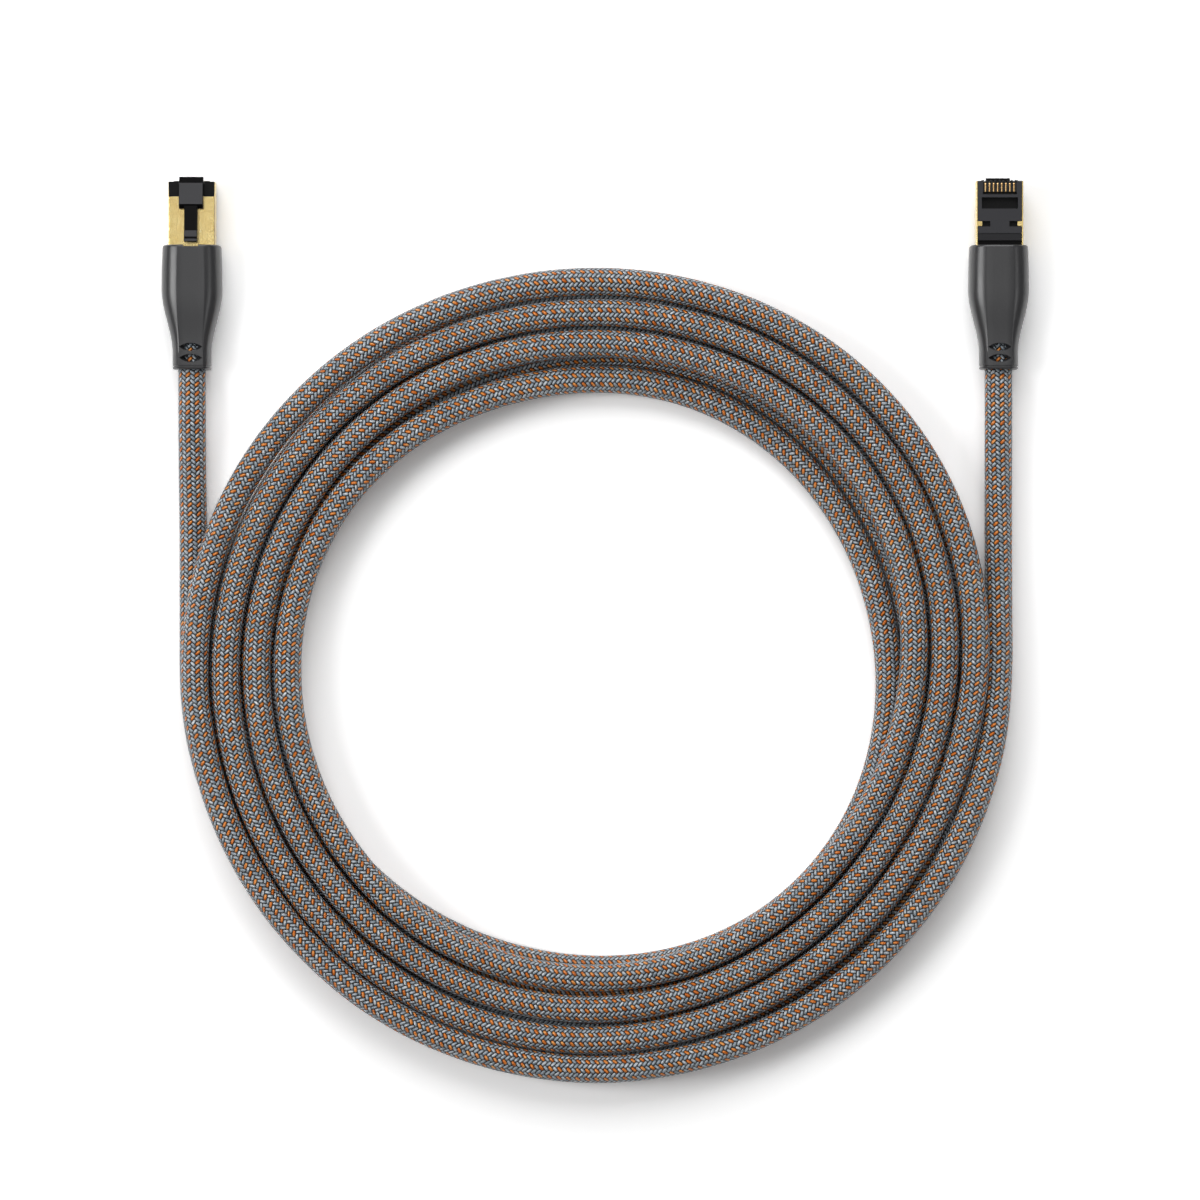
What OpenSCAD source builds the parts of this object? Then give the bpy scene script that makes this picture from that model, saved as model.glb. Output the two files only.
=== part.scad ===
// Braided network patch cable with a shielded eight-way plug on each end.
// The cable lies in a round pile of turns on a flat surface. Millimetres, +Z up.
// The origin is on that surface, midway between the two plugs. +Y points along the plugs to their
// noses. Plug "a" is on the left with its latch up, plug "b" on the right, turned over.

/* [Cable] */
// Outside diameter of the cable over its braided sleeve
cable_d = 6.5; // [6.2:0.1:6.8]
// Wall of the braided sleeve
sleeve_wall = 0.5; // [0.4:0.05:0.6]
// Wall of the plastic jacket under the sleeve
jacket_wall = 0.35; // [0.3:0.05:0.4]
// Diameter of one insulated wire
wire_d = 0.82; // [0.7:0.02:0.84]
// Wall of the foil round each pair of wires
foil_wall = 0.05; // [0.04:0.01:0.06]

/* [Coil] */
// Clear space between turns that lie side by side or on each other
turn_gap = 0.5; // [0.49:0.01:0.55]
// Radius at which the floor layer starts, on the left of the coil
coil_r = 98.8; // [98:0.1:100]
// Radius of the upper layer's innermost turn, on the left of the coil
eye_r = 75.7; // [75.5:0.1:77]
// Radial step of the upper layer for each turn
upper_pitch = 7.7; // [7.2:0.1:8]

/* [Layout] */
// Distance between the centre lines of the two plugs
plug_spacing = 201.6; // [200:0.2:204]

/* [Plug] */
// Width of the plug over its metal shell
plug_w = 11.68; // [11.4:0.02:11.9]
// Height of the plug body over its metal shell, without the latch
plug_h = 6.6; // [6.4:0.05:6.7]
// Length of the plug that stands out of the boot
plug_out = 15.85; // [15:0.05:17]
// Length of the plug that sits inside the boot
plug_in = 6; // [5.5:0.1:7]
// Thickness of the shell's sheet metal
shell_t = 0.3; // [0.2:0.05:0.35]
// Length of bare housing in front of the shell's top wall
nose_l = 3.75; // [3.4:0.05:4.2]
// Spacing of the eight contacts
contact_pitch = 1.016; // [1:0.001:1.03]
// Thickness of a contact blade
contact_t = 0.45; // [0.3:0.01:0.5]
// Length of a contact blade
contact_l = 2.4; // [2.2:0.05:2.6]
// Depth of the blades' edges below the contact face
contact_sink = 0.4; // [0.3:0.05:0.6]
// Distance from the nose to the shell's folded tabs
tab_back = 10.68; // [9.5:0.02:11.5]

/* [Latch] */
// Width of the latch's broad head
head_w = 6; // [5.6:0.1:6.3]
// Length of the head behind the hinge
head_l = 7.4; // [6.8:0.1:8]
// Width of the lever
lever_w = 3.25; // [3:0.05:3.5]
// Thickness of the lever
lever_t = 1; // [0.8:0.05:1.1]
// Height of the lever's thumb steps
thumb_h = 0.2; // [0.1:0.05:0.25]
// Gap between the latch and the plug when pressed home
latch_clear = 0.35; // [0.3:0.05:0.45]
// Angle that the latch stands up at rest
latch_rise = 8; // [6:0.5:8]

/* [Boot] */
// Length of the boot
boot_l = 31; // [30:0.5:34]
// Width of the boot
boot_w = 15.1; // [14.8:0.1:16]
// Height of the boot
boot_h = 12; // [11.8:0.1:13]
// Width and height of the boot's tail
tail_w = 9.6; // [9.4:0.1:10.4]
// Length of the straight tail, where the boot starts to widen
tail_l = 4; // [3.8:0.1:5]
// Place along the boot where it has its full width
grip_y = 20; // [19:0.5:22]
// Width of the flat panel on the boot, at its tail
tail_panel = 6; // [5:0.1:6.4]
// Width of the flat panel on the boot, at its grip
grip_panel = 6.9; // [6:0.1:8]
// Width of a strain-relief window
window_w = 5.9; // [5:0.1:6.2]
// Length of a window along the cable
window_l = 1.95; // [1.6:0.05:2.1]

/* [Hidden] */
ENDS = ["a", "b"];
PAIRS = ["orange_pair", "green_pair", "blue_pair", "brown_pair"];
END_PARTS = concat(
    ["housing", "latch", "shield_shell", "load_bar", "inner_mould", "boot",
     "sleeve_end", "jacket_end", "folded_shield", "pair_foils"],
    PAIRS, [for (pin = [1:8]) str("contact_", pin)]);

$fn = 48;
fit = 0.05;                              // clearance between pieces pressed or moulded together
eps = 0.1;                               // how far a cutting shape runs past a face

// Along a plug, measured forward from the tail of its boot on the cable's axis
nose_y = boot_l + plug_out;
rear_y = boot_l - plug_in;
face_z = 2.1;                            // latch side of the plug, above the cable's axis
contact_z = face_z - plug_h;             // contact side of the plug
hinge_r = 0.75;                          // round front edge of the latch
hinge_y = nose_y + 0.45;
hinge_z = face_z + 0.2;
plug_length = hinge_y + hinge_r;
lever_end = hinge_y - boot_l - 0.4;      // the lever stops this far behind the hinge

inner_w = plug_w - 2*shell_t - 2*fit;    // housing between the shell's side walls
inner_top = face_z - shell_t - fit;
wire_z = -0.5;                           // plane of the eight wires in the plug
wire_bore = wire_d + 0.08;
wire_front = nose_y - 0.8;
bar_w = 8*contact_pitch + 0.6;
bar_h = 1.7;
bar_front = nose_y - 9;
bar_rear = rear_y + 3.8;
fan_y = rear_y - 2;                      // the wires leave their foils here and fan out
fan_floor = -2.4;                        // underside of the room where the wires fan out

// Contact side of the housing, set out from the nose
comb_w = 8*contact_pitch + 0.35;         // comb between the contacts, a little below the face
comb_drop = 0.25;
centre_w = 9;                            // middle of the nose, a little proud of its corners
centre_proud = 0.25;
corner_gap = 0.15;                       // the nose's corners lie over the shell, this far from its sides
corner_h = 1;
blade_front = nose_y - 0.45;
blade_rear = blade_front - contact_l;
comb_rear = blade_rear - 0.5;
recess_front = comb_rear - 0.75;         // crimp recess behind the comb
recess_l = 2.8;
recess_depth = 1.8;
tab_y = nose_y - tab_back;
tab_w = 1.45;                            // how far a folded tab reaches in from the side
tab_l = 1.15;
notch_w = 3.2;
notch_depth = 1.2;
step_y = nose_y - 13;                    // the contact face drops slightly behind this place
step_drop = 0.2;
gap_y = boot_l + 1.05;                   // deep step just in front of the boot
gap_drop = 1.8;

// Sleeve, jacket and shield inside the boot
jacket_d = cable_d - 2*sleeve_wall - 2*fit;
jacket_bore = jacket_d - 2*jacket_wall;
wire_space = 0.03;                       // from a wire to the middle of its pair
foil_d = 2*(wire_d + wire_space + foil_wall) + 0.04;
foil_ring = jacket_bore/2 - foil_d/2 - fit;
barrel_d = cable_d + 0.85;               // crimp barrel of the shell, outside
barrel_l = 7.3;
flange_y = rear_y - 0.5;
flange_top = barrel_d/2 + 0.2;
barrel_y = flange_y - barrel_l;
shield_y = barrel_y - 1.2;
mould_y = shield_y - 0.4;
mould_w = 11;
mould_h = 8.6;

// Driving heights of the cable on the surface
floor_z = cable_d/2 + 0.05;
upper_z = floor_z + cable_d + turn_gap;
floor_pitch = cable_d + turn_gap;
coil_centre = [0, -100, 0];
boot_tail_y = -plug_length/2;

// ---------------------------------------------------------------- small helpers

function unit(v) = v / norm(v);
function ease(u) = let(c = min(max(u, 0), 1)) c*c*(3 - 2*c);
function mix3(p, q, u) = p*(1 - u) + q*u;

// Direction of a route at point i
function heading(route, i) =
    i == 0 ? unit(route[1] - route[0]) :
    i == len(route) - 1 ? unit(route[i] - route[i-1]) :
    unit(unit(route[i+1] - route[i]) + unit(route[i] - route[i-1]));

// One ring of a tube, with a corner at the top and one at the bottom
function ring(centre, dir, d, sides) =
    let(side = unit(cross(dir, [0, 0, 1])), rise = cross(side, dir))
    [for (k = [0:sides-1]) let(a = 90 + 360*k/sides) centre + d/2*(cos(a)*side + sin(a)*rise)];

// Triangles that close a stack of rings, each of so many sides, into one solid
function skin(rings, sides) = concat(
    [for (i = [0:rings-2]) for (k = [0:sides-1])
        let(a = i*sides + k, b = i*sides + (k + 1) % sides)
        each [[a, b, b + sides], [a, b + sides, a + sides]]],
    [for (k = [1:sides-2]) [0, k + 1, k]],
    [for (k = [1:sides-2]) [0, k, k + 1] + (rings - 1)*sides*[1, 1, 1]]);

// Tube of diameter d along a route, closed at both ends
module tube(route, d, sides) {
    rings = len(route);
    points = [for (i = [0:rings-1]) each ring(route[i], heading(route, i), d, sides)];
    polyhedron(points, skin(rings, sides), convexity = 10);
}

// Straight round tube along Y between two places, with a bore
module sleeve(from_y, to_y, outer, bore) {
    translate([0, from_y, 0]) rotate([-90, 0, 0]) difference() {
        cylinder(h = to_y - from_y, d = outer);
        translate([0, 0, -eps]) cylinder(h = to_y - from_y + 2*eps, d = bore);
    }
}

// Box between two corners
module block(low, high) {
    translate(low) cube(high - low);
}

// Moves a plug from its own frame to its place: a on the left, b turned over on the right
module at_end(end) {
    translate([(end == "a" ? -1 : 1)*plug_spacing/2, boot_tail_y, boot_h/2])
        rotate([0, end == "a" ? 0 : 180, 0]) children();
}

// ---------------------------------------------------------------- cable route

// The pile is wound inwards on the floor, climbs at the eye and is wound outwards again on top. A
// turn is counted from the left-hand side, counter-clockwise seen from above.
coil_turns = 7;
climb_turn = 3.62;                       // where the cable starts to climb, and how long it takes
climb_turns = 0.31;
reverse_turn = 3.66;                     // the same for its turn outwards
reverse_turns = 0.26;
floor_shift = [-0.5, 0.8, 0];            // each layer lies a little off the coil's centre
upper_shift = [-0.6, 2.0, 0];
// The turns aren't quite round: the cosine and sine parts of an oval, then of a three-cornered form
floor_wave = [0.6, -0.3, -0.8, -0.5];
upper_wave = [0.4, 0.9, 0.0, 0.7];

function wave(w, a) = w[0]*cos(2*a) + w[1]*sin(2*a) + w[2]*cos(3*a) + w[3]*sin(3*a);

function spiral(turn) =
    let(a = 180 + 360*turn,
        inward = coil_r - floor_pitch*turn + wave(floor_wave, a),
        outward = eye_r + upper_pitch*(turn - 4) + wave(upper_wave, a),
        reversed = ease((turn - reverse_turn)/reverse_turns),
        climbed = ease((turn - climb_turn)/climb_turns),
        r = inward*(1 - reversed) + outward*reversed)
    coil_centre + [r*cos(a), r*sin(a), 0] + mix3(floor_shift, upper_shift, reversed)
        + [0, 0, floor_z + (upper_z - floor_z)*climbed];

function spiral_heading(turn) = unit(spiral(turn + 0.001) - spiral(turn - 0.001));

coil_in = spiral(0);
coil_in_dir = spiral_heading(0);
coil_out = spiral(coil_turns);
coil_out_dir = spiral_heading(coil_turns);

// 24 rings to a turn, and a straight end one diameter long where each lead meets it
coil_route = concat(
    [coil_in, coil_in + cable_d*coil_in_dir],
    [for (k = [1:coil_turns*24 - 1]) spiral(k/24)],
    [coil_out - cable_d*coil_out_dir, coil_out]);

// Points of a lead on the coil, as radius, angle and height
function around(list) =
    [for (p = list) coil_centre + [p[0]*cos(p[1]), p[0]*sin(p[1]), p[2]]];

lead_a_route = concat(
    [[-plug_spacing/2, boot_tail_y, boot_h/2], [-plug_spacing/2, boot_tail_y - cable_d, boot_h/2]],
    [[-100.8, -40, 5.6], [-100.8, -52, 4.4], [-100.7, -64, 3.5], [-100.7, -76, 3.3],
     [-100.7, -88, 3.3]],
    [coil_in - cable_d*coil_in_dir, coil_in]);

lead_b_route = concat(
    [coil_out, coil_out + cable_d*coil_out_dir],
    around([[99.6, 187.5, 10.3], [99.4, 195, 10.3], [99.2, 202.5, 10.3], [99.0, 210, 10.3],
            [98.9, 217.5, 10.3], [98.7, 225, 10.3], [98.7, 232.5, 10.3], [98.6, 240, 10.3],
            [98.5, 247.5, 10.3], [98.5, 255, 10.3], [98.5, 262.5, 10.3], [98.6, 270, 10.3],
            [98.6, 277.5, 10.3], [98.7, 285, 10.3], [98.8, 292.5, 10.3], [98.9, 300, 10.3],
            [99.1, 307.5, 10.3], [99.2, 315, 10.3], [99.4, 322.5, 10.3], [99.7, 330, 10.3],
            [99.9, 337.5, 10.0], [100.2, 345, 9.2], [100.5, 352.5, 7.9]]),
    [[100.8, -98, 6.6], [100.8, -86, 6.2], [100.8, -74, 5.6], [100.8, -62, 5.3], [100.8, -50, 5.4],
     [100.8, -40, 5.8]],
    [[plug_spacing/2, boot_tail_y - cable_d, boot_h/2], [plug_spacing/2, boot_tail_y, boot_h/2]]);

// Least clear space between any two stretches of the whole route that aren't neighbours on it
whole_route = concat(lead_a_route, coil_route, lead_b_route);
least_gap = min([for (i = [0:len(whole_route)-1]) for (j = [i+6:1:len(whole_route)-1])
    norm(whole_route[i] - whole_route[j])]) - cable_d;
route_length = [for (i = 0, s = 0; i < len(whole_route);
    i = i + 1, s = s + (i < len(whole_route) ? norm(whole_route[i] - whole_route[i-1]) : 0)) s];
echo(least_gap_between_turns = least_gap);
echo(cable_length_between_boots = route_length[len(route_length)-1]);

cable_colour = [0.46, 0.45, 0.44];

module lead_a() {
    color(cable_colour) tube(lead_a_route, cable_d, 12);
}

module cable_coil() {
    color(cable_colour) tube(coil_route, cable_d, 6);
}

module lead_b() {
    color(cable_colour) tube(lead_b_route, cable_d, 12);
}

// ---------------------------------------------------------------- cable inside the boot

// Braided sleeve: runs from the boot's tail under the windows to just short of the shield
module sleeve_end() {
    color(cable_colour) sleeve(0, shield_y - 0.3, cable_d, cable_d - 2*sleeve_wall);
}

module jacket_end() {
    color([0.2, 0.2, 0.22]) sleeve(0, fan_y - 0.1, jacket_d, jacket_bore);
}

// Wire braid folded back over the jacket and gripped by the shell's barrel
module folded_shield() {
    color([0.75, 0.72, 0.68]) sleeve(shield_y, flange_y - 0.3, barrel_d - 2*shell_t - 2*fit,
                                     jacket_d + 2*fit);
}

// The four pairs lie right, above, below and left of the cable's axis
pair_places = [[foil_ring, 0], [0, foil_ring], [0, -foil_ring], [-foil_ring, 0]];
pair_pins = [[1, 2], [3, 6], [4, 5], [7, 8]];

module pair_foils() {
    color([0.82, 0.83, 0.85]) for (place = pair_places)
        translate([place[0], 0, place[1]])
            sleeve(0, fan_y - 0.2, foil_d, foil_d - 2*foil_wall);
}

// Pin 1 is on the left of someone who looks at the contacts with the cable below
function pin_x(pin) = (4.5 - pin)*contact_pitch;

wire_colours = [
    [[0.93, 0.85, 0.75], [0.9, 0.5, 0.15]],
    [[0.8, 0.9, 0.8], [0.2, 0.55, 0.25]],
    [[0.25, 0.4, 0.75], [0.8, 0.86, 0.95]],
    [[0.88, 0.82, 0.76], [0.45, 0.28, 0.18]]];

// Two wires of a pair: straight in the foil, then fanned out to their places in the load bar
module wire_pair(which) {
    half = wire_d/2 + wire_space;
    place = pair_places[which];
    for (side = [0, 1]) {
        x = place[0] + (side == 0 ? half : -half);
        pin = pin_x(pair_pins[which][side]);
        color(wire_colours[which][side]) tube([[x, 0, place[1]], [x, fan_y, place[1]],
            [pin, bar_rear - 0.3, wire_z], [pin, wire_front, wire_z]], wire_d, 8);
    }
}

// ---------------------------------------------------------------- plug

// Rows of round wire ways and blade slots that the eight contacts share
module wire_ways(from_y, to_y) {
    for (pin = [1:8])
        translate([pin_x(pin), from_y, wire_z]) rotate([-90, 0, 0])
            cylinder(h = to_y - from_y, d = wire_bore, $fn = 24);
}

module housing() {
    color([0.09, 0.09, 0.1]) difference() {
        union() {
            block([-inner_w/2, rear_y, contact_z], [inner_w/2, nose_y, inner_top]);
            block([corner_gap - plug_w/2, nose_y - nose_l + fit, face_z - corner_h + fit],
                  [plug_w/2 - corner_gap, nose_y, face_z]);
            block([-centre_w/2, nose_y - 1, contact_z + 0.5],
                  [centre_w/2, nose_y + centre_proud, face_z - 1.2]);
        }
        // wires fan out from the rear, pass the load bar and end under the contacts
        block([-bar_w/2 - fit, rear_y - eps, fan_floor],
              [bar_w/2 + fit, bar_rear - 0.2, inner_top - 0.3]);
        block([-bar_w/2 - fit, bar_rear - 0.3, wire_z - bar_h/2 - fit],
              [bar_w/2 + fit, bar_front + fit, wire_z + bar_h/2 + fit]);
        wire_ways(bar_front, wire_front + fit);
        contact_comb();
        block([-centre_w/2, recess_front - recess_l, contact_z - eps],
              [centre_w/2, recess_front, contact_z + recess_depth]);
        // notches that take the shell's folded tabs
        for (side = [-1, 1])
            translate([side*(inner_w - notch_w + 2*eps)/2, tab_y, contact_z])
                cube([notch_w, tab_l + 0.2, 2*notch_depth], center = true);
        // the rear end is stepped on the contact side
        block([-inner_w/2 - eps, rear_y - eps, contact_z - eps],
              [inner_w/2 + eps, step_y, contact_z + step_drop]);
        block([-inner_w/2 - eps, boot_l - 0.2, contact_z - eps],
              [inner_w/2 + eps, gap_y, contact_z + gap_drop]);
        // round seat for the latch's hinge
        translate([0, hinge_y, hinge_z]) rotate([0, 90, 0])
            cylinder(h = head_w + 0.6, r = hinge_r + 0.15, center = true);
    }
}

// Space cut from the nose: the sunk comb, its sloping front edge and a slot for each blade
module contact_comb() {
    comb_z = contact_z + comb_drop;
    block([-comb_w/2, comb_rear, contact_z - eps], [comb_w/2, nose_y + eps, comb_z]);
    block([-comb_w/2, comb_rear, contact_z - eps], [comb_w/2, blade_rear + 0.15, contact_z + 1]);
    translate([-comb_w/2, 0, 0]) rotate([90, 0, 90]) linear_extrude(comb_w)
        polygon([[blade_front - 0.1, comb_z - eps], [nose_y + 1, comb_z - eps],
                 [nose_y + 1, comb_z + 1.4]]);
    for (pin = [1:8])
        block([pin_x(pin) - contact_t/2 - fit, blade_rear - fit, contact_z - eps],
              [pin_x(pin) + contact_t/2 + fit, nose_y + 1, wire_z - wire_d/2]);
}

// One gold-plated blade with a rounded crown and two piercing teeth that reach down to the wire
module contact(pin) {
    blade_h = wire_z - wire_d/2 - fit - contact_z - contact_sink;
    color([0.83, 0.66, 0.3])
        translate([pin_x(pin) - contact_t/2, blade_rear, contact_z + contact_sink])
            rotate([90, 0, 90]) linear_extrude(contact_t) difference() {
                union() {
                    translate([0.3, 0]) square([contact_l - 0.6, blade_h]);
                    translate([0, 0.3]) square([contact_l, blade_h - 0.3]);
                    for (y = [0.3, contact_l - 0.3]) translate([y, 0.3]) circle(r = 0.3);
                }
                translate([contact_l/2, blade_h]) circle(r = 0.45);
            }
}

// Sheet-metal shell: top and side walls, folded tabs, rear flange and crimp barrel
module shield_shell() {
    inside = plug_w/2 - shell_t;
    color([0.85, 0.68, 0.33]) {
        difference() {
            block([-plug_w/2, flange_y, contact_z], [plug_w/2, nose_y, face_z]);
            block([-inside, flange_y - eps, contact_z - eps],
                  [inside, nose_y + eps, face_z - shell_t]);
            block([-plug_w/2 - eps, nose_y - nose_l, face_z - corner_h],
                  [plug_w/2 + eps, nose_y + eps, face_z + eps]);
        }
        for (side = [-1, 1])
            translate([side*(plug_w - tab_w)/2, tab_y, contact_z + shell_t/2])
                cube([tab_w, tab_l, shell_t], center = true);
        difference() {
            block([-plug_w/2, flange_y, contact_z], [plug_w/2, flange_y + shell_t, flange_top]);
            translate([0, flange_y - eps, 0]) rotate([-90, 0, 0])
                cylinder(h = 1, d = barrel_d - 2*shell_t);
        }
        sleeve(barrel_y, flange_y + fit, barrel_d, barrel_d - 2*shell_t);
    }
}

module load_bar() {
    color([0.85, 0.85, 0.8]) difference() {
        block([-bar_w/2, bar_rear, wire_z - bar_h/2], [bar_w/2, bar_front, wire_z + bar_h/2]);
        wire_ways(bar_rear - eps, bar_front + eps);
    }
}

// Side outline of the latch's head or lever as it lies flat, with the hinge's axis on the origin
latch_foot = face_z + latch_clear - hinge_z;
module latch_outline(long, thick) {
    polygon([[0.3, -0.1], [0.3, hinge_r - 0.1], [-1.1, latch_foot + thick],
             [-long, latch_foot + thick], [-long, latch_foot], [-1, latch_foot]]);
}

module latch() {
    head_t = lever_t + 0.3;
    shoulder = 0.9;
    color([0.16, 0.16, 0.17]) translate([0, hinge_y, hinge_z]) rotate([-latch_rise, 0, 0]) {
        rotate([0, 90, 0]) cylinder(h = head_w, r = hinge_r, center = true);
        // the broad head ends in a sloping shoulder that catches in a socket
        translate([-head_w/2, 0, 0]) rotate([90, 0, 90]) linear_extrude(head_w)
            difference() {
                latch_outline(head_l, head_t);
                translate([-head_l, latch_foot + head_t]) rotate(45)
                    square(shoulder*sqrt(2), center = true);
            }
        translate([-lever_w/2, 0, 0]) rotate([90, 0, 90]) linear_extrude(lever_w) {
            latch_outline(lever_end, lever_t);
            // two thumb steps
            translate([-lever_end, latch_foot + lever_t - eps]) square([0.7, thumb_h + eps]);
            translate([1.15 - lever_end, latch_foot + lever_t - eps]) square([1.65, thumb_h + eps]);
        }
    }
}

// ---------------------------------------------------------------- boot and inner mould

// Half the boot's width or height at a place along it: straight tail, ogee shoulder and a grip that
// draws in a little to its rounded front. The height doesn't draw in.
front_round = 0.55;
draw_in = 0.25;
function boot_half(y, tail, grip, draw) =
    let(front = max(0, min(1, (y - boot_l + front_round)/front_round)))
    tail + (grip - tail)*ease((y - tail_l)/(grip_y - tail_l))
        - draw*pow(max(0, y - grip_y)/(boot_l - grip_y), 2)
        - front_round*(1 - sqrt(1 - front*front));

// Section of the boot: flat panels above and below, and rounded shoulders that start at a crease.
// Half its points lie on each shoulder, crease to crease.
boot_power = 2.8;
shoulder_steps = 7;
boot_sides = 4*shoulder_steps + 2;
function rounded(c) = sign(c)*pow(abs(c), 2/boot_power);
function boot_angle(k, crease) =
    let(half = boot_sides/2, turned = floor((k + shoulder_steps)/half),
        step = (k + shoulder_steps) % half - shoulder_steps)
    180*turned + crease*step/shoulder_steps;
function boot_ring(y, w, h, panel) =
    let(crease = acos(pow(panel/w, boot_power/2)),
        full_h = h/pow(1 - pow(panel/w, boot_power), 1/boot_power))
    [for (k = [0:boot_sides-1]) let(a = boot_angle(k, crease))
        [w*rounded(cos(a)), y, full_h*rounded(sin(a))]];

// Places along the boot, each with how far its skin stands out or in: rounded tail, narrow groove
groove = 0.3;
boot_stations = concat(
    [[0, -0.3], [0.3, -0.05], [0.6, 0], [0.7, -groove], [0.85, -groove], [0.95, 0], [tail_l, 0]],
    [for (k = [1:8]) [tail_l + (grip_y - tail_l)*k/8, 0]],
    [[(grip_y + boot_l)/2, 0]],
    [for (t = [0, 0.5, 0.8, 1]) [boot_l - front_round*(1 - t), 0]]);

module boot_form() {
    points = [for (s = boot_stations) each boot_ring(s[0],
        boot_half(s[0], tail_w/2, boot_w/2, draw_in) + s[1],
        boot_half(s[0], tail_w/2, boot_h/2, 0) + s[1],
        boot_half(s[0], tail_panel/2, grip_panel/2, draw_in))];
    polyhedron(points, skin(len(boot_stations), boot_sides), convexity = 6);
}

// Lens-shaped window right through the tail, crossing the cable
module window(y) {
    bow = (window_w*window_w/4 + window_l*window_l/4)/window_l;
    translate([0, y, -boot_h/2]) linear_extrude(boot_h) intersection() {
        translate([0, bow - window_l/2]) circle(r = bow);
        translate([0, window_l/2 - bow]) circle(r = bow);
    }
}

module boot() {
    color([0.27, 0.27, 0.28]) difference() {
        boot_form();
        translate([0, -eps, 0]) rotate([-90, 0, 0])
            cylinder(h = mould_y + 2*eps, d = cable_d + 2*fit);
        block([-mould_w/2 - fit, mould_y - fit, -mould_h/2 - fit],
              [mould_w/2 + fit, flange_y, mould_h/2 + fit]);
        block([-plug_w/2 - fit, flange_y - fit, contact_z - fit],
              [plug_w/2 + fit, boot_l + eps, face_z + fit]);
        block([-plug_w/2 - fit, flange_y - fit, 0],
              [plug_w/2 + fit, flange_y + shell_t + fit, flange_top + fit]);
        // relief for the end of the lever
        block([-lever_w/2 - 0.3, boot_l - 0.5, face_z], [lever_w/2 + 0.3, boot_l + eps, boot_h]);
        window(2.75);
        window(5.5);
    }
}

module inner_mould() {
    color([0.7, 0.7, 0.66]) difference() {
        block([-mould_w/2, mould_y, -mould_h/2], [mould_w/2, flange_y - fit, mould_h/2]);
        translate([0, mould_y - eps, 0]) rotate([-90, 0, 0])
            cylinder(h = flange_y - mould_y + 2*eps, d = barrel_d + 2*fit);
    }
}

// ---------------------------------------------------------------- nodes

lead_a();
cable_coil();
lead_b();
for (e = ENDS) at_end(e) {
    housing();
    latch();
    shield_shell();
    load_bar();
    inner_mould();
    boot();
    sleeve_end();
    jacket_end();
    folded_shield();
    pair_foils();
    for (which = [0:3])
        wire_pair(which);
    for (pin = [1:8])
        contact(pin);
}
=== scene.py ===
"""Looks of a braided network patch cable with a shielded modular plug on each end.

The cable lies in a round pile of turns on a pale floor. Sizes are in millimetres, as in the part's
source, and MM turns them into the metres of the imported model's frame.
"""

import math

import bmesh
import bpy
import numpy as np
from mathutils import Matrix, Vector

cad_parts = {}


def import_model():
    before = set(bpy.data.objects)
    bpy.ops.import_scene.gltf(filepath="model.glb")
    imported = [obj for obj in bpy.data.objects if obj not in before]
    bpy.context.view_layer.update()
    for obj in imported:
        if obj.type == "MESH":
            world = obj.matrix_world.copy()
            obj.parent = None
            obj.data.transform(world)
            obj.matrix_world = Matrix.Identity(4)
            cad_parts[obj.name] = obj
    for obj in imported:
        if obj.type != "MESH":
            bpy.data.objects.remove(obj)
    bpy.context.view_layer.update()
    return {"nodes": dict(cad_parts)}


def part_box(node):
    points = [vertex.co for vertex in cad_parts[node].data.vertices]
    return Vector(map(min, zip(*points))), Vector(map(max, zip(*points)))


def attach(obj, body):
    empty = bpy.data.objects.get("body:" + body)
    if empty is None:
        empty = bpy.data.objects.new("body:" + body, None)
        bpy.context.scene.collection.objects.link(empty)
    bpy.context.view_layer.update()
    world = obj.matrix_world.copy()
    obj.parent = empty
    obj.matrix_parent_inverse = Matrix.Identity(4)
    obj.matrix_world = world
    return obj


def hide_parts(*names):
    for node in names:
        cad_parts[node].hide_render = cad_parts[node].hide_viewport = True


MM = 0.001
ENDS = ("a", "b")

# Cable and coil
CABLE_D = 6.5
FLOAT_RISE = 0.2                # the floats of the weave stand proud of the cable's diameter
SLEEVE_WALL = 0.5
TURN_GAP = 0.5
COIL_R = 98.8
EYE_R = 75.7
UPPER_PITCH = 7.7
FLOOR_PITCH = CABLE_D + TURN_GAP
FLOOR_Z = CABLE_D / 2 + 0.05
UPPER_Z = FLOOR_Z + CABLE_D + TURN_GAP
COIL_CENTRE = np.array([0.0, -100.0, 0.0])
COIL_TURNS = 7
TURNS_TO_EYE = 4                # the upper layer's radius is counted from this turn
CLIMB_TURN, CLIMB_TURNS = 3.62, 0.31        # where the cable starts to climb, and for how long
REVERSE_TURN, REVERSE_TURNS = 3.66, 0.26    # the same for its turn outwards
FLOOR_SHIFT = np.array([-0.5, 0.8, 0.0])    # each layer lies a little off the coil's centre
UPPER_SHIFT = np.array([-0.6, 2.0, 0.0])
FLOOR_WAVE = (0.6, -0.3, -0.8, -0.5)        # and isn't quite round
UPPER_WAVE = (0.4, 0.9, 0.0, 0.7)

# Plugs and boots
PLUG_X = 100.8
BOOT_TAIL_Y = -24.025
BOOT_L = 31.0
BOOT_W = 15.1
BOOT_H = 12.0
TAIL_W = 9.6
TAIL_L = 4.0
GRIP_Y = 20.0                   # where the grip is widest
TAIL_PANEL = 6.0                # widths of the flat panel
GRIP_PANEL = 6.9
BOOT_POWER = 2.8                # of the superellipse that rounds the shoulders
FRONT_ROUND = 0.55
DRAW_IN = 0.25                  # from the widest place to the front
GROOVE = 0.3
WINDOW_W = 5.9
WINDOW_L = 1.95
WINDOW_SLOPE = 1.2              # the windows' ends slope inwards this far, down to the sleeve
WINDOW_PLACES = (2.75, 5.5)
POCKET_Y = 15.5                 # the room for the inner mould: its rear end, width and height
POCKET_W = 11.0
POCKET_H = 8.7
FLANGE_Y = BOOT_L - 6.5
PLUG_W = 11.68
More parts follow.
